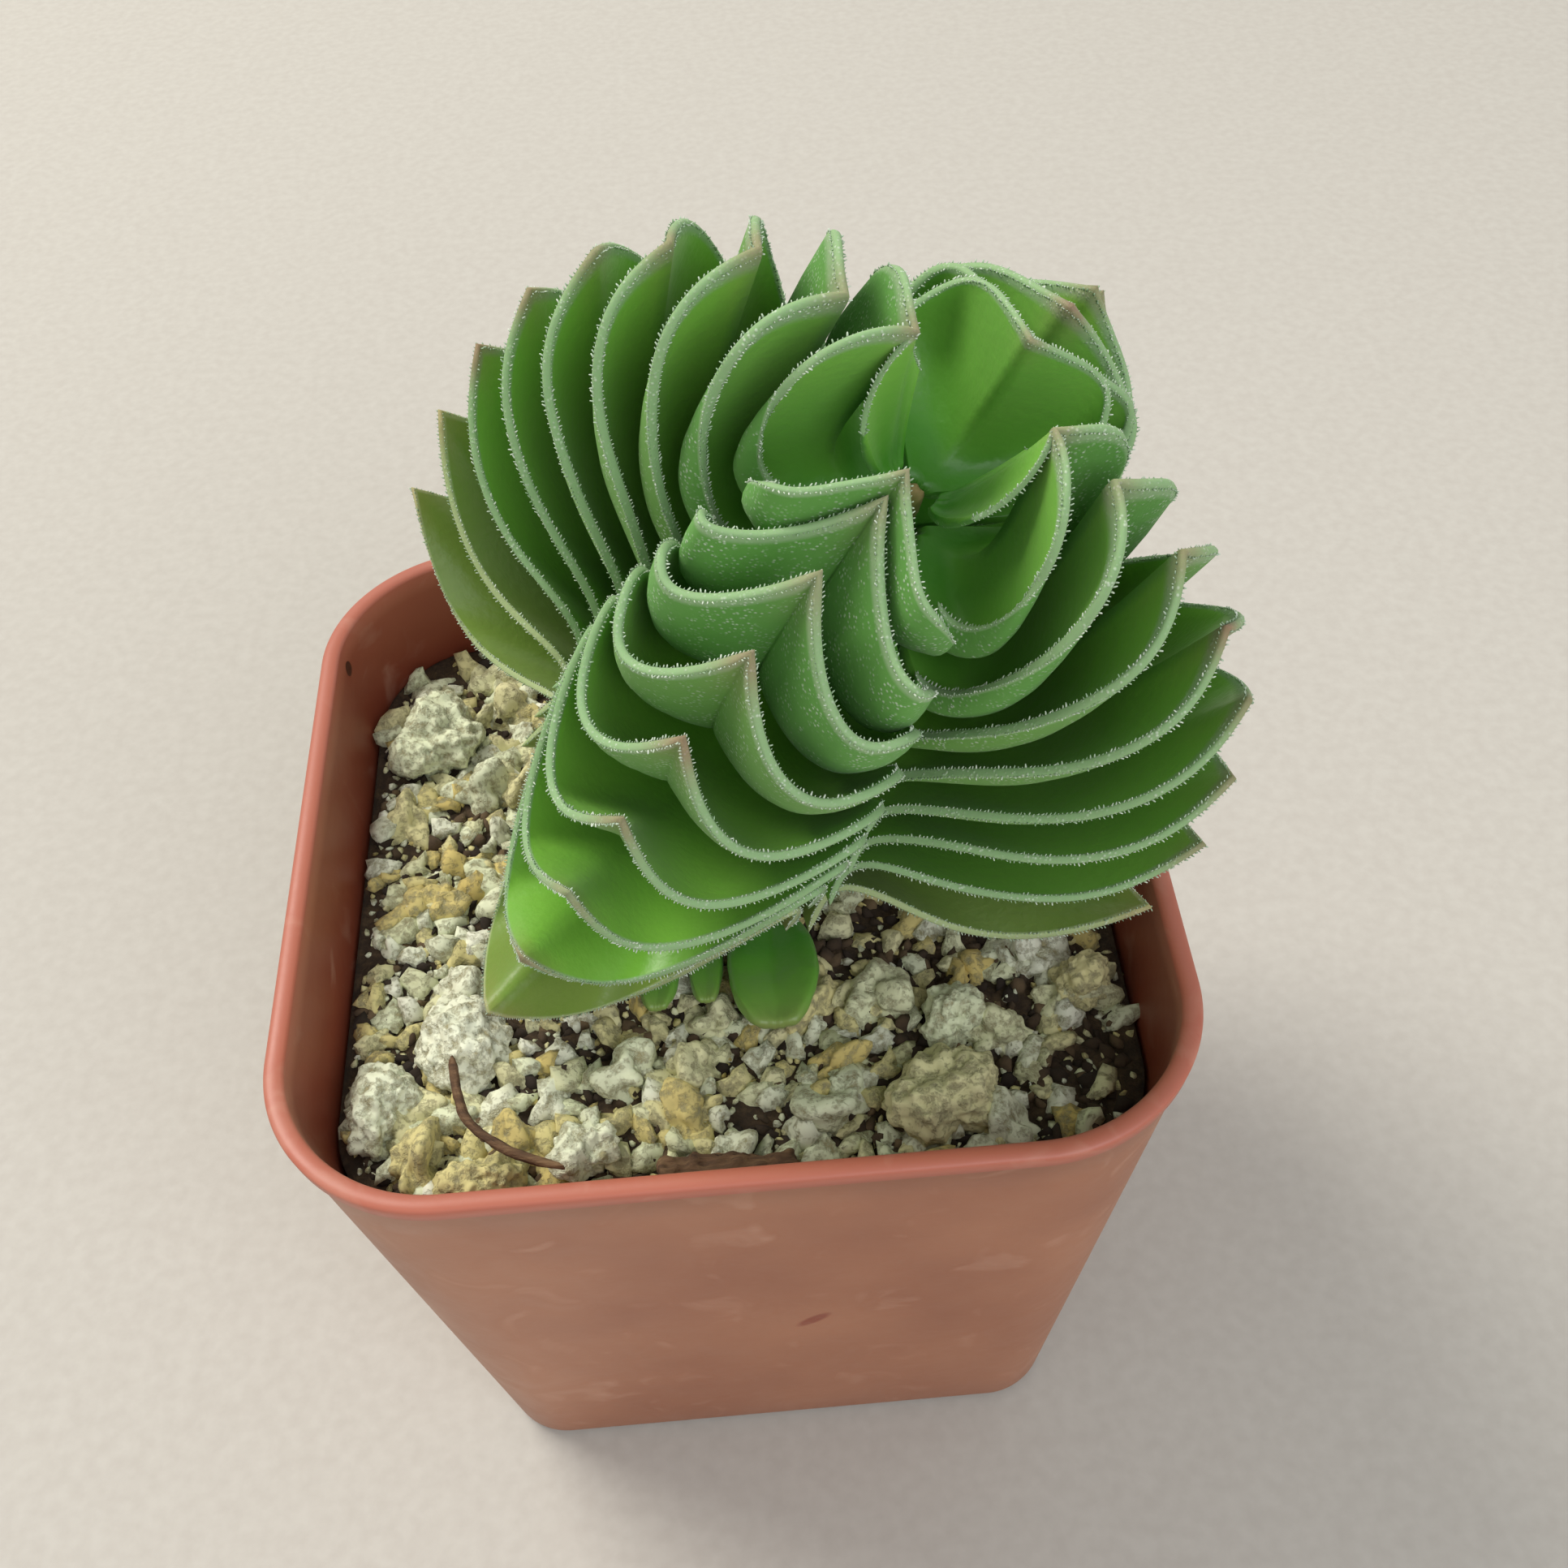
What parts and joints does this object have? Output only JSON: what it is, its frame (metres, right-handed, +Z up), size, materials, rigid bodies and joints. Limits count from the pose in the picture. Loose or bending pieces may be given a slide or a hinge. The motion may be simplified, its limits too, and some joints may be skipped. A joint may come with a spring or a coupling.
{
  "type": "potted succulent",
  "caption": "Small square plastic nursery pot of gritty soil with a leaning succulent whose broad leaves stand in stacked opposite pairs.",
  "frame": {"origin": "centre of the pot's underside", "axes": "+Z up, +X along the pot's front side to its right, +Y from the front side to the back"},
  "size_m": [0.0514, 0.0514, 0.0864],
  "materials": {
    "pot_plastic": "moulded terracotta-coloured plastic",
    "soil": "loose dark mix",
    "stem": "green stem",
    "leaf": "fleshy satin leaf",
    "stone": "porous pumice",
    "bark": "dry bark"
  },
  "bodies": {
    "root": {"bark_strip": "bark", "dry_root": "bark", "leaf_back_01": "leaf", "leaf_back_03": "leaf", "leaf_back_05": "leaf", "leaf_back_07": "leaf", "leaf_back_09": "leaf", "leaf_back_11": "leaf", "leaf_back_13": "leaf", "leaf_back_15": "leaf", "leaf_back_17": "leaf", "leaf_front_01": "leaf", "leaf_front_03": "leaf", "leaf_front_05": "leaf", "leaf_front_07": "leaf", "leaf_front_09": "leaf", "leaf_front_11": "leaf", "leaf_front_13": "leaf", "leaf_front_15": "leaf", "leaf_front_17": "leaf", "leaf_left_00": "leaf", "leaf_left_02": "leaf", "leaf_left_04": "leaf", "leaf_left_06": "leaf", "leaf_left_08": "leaf", "leaf_left_10": "leaf", "leaf_left_12": "leaf", "leaf_left_14": "leaf", "leaf_left_16": "leaf", "leaf_left_18": "leaf", "leaf_right_00": "leaf", "leaf_right_02": "leaf", "leaf_right_04": "leaf", "leaf_right_06": "leaf", "leaf_right_08": "leaf", "leaf_right_10": "leaf", "leaf_right_12": "leaf", "leaf_right_14": "leaf", "leaf_right_16": "leaf", "pot": "pot_plastic", "shoot_leaf_1": "leaf", "shoot_leaf_2": "leaf", "shoot_leaf_3": "leaf", "soil": "soil", "stem": "stem", "stone_front": "stone", "stone_front_left": "stone", "stone_front_right": "stone", "stone_left_back": "stone", "stone_left_corner": "stone", "stone_left_front": "stone", "stone_near_right": "stone", "stone_right": "stone"}
  },
  "joints": []
}
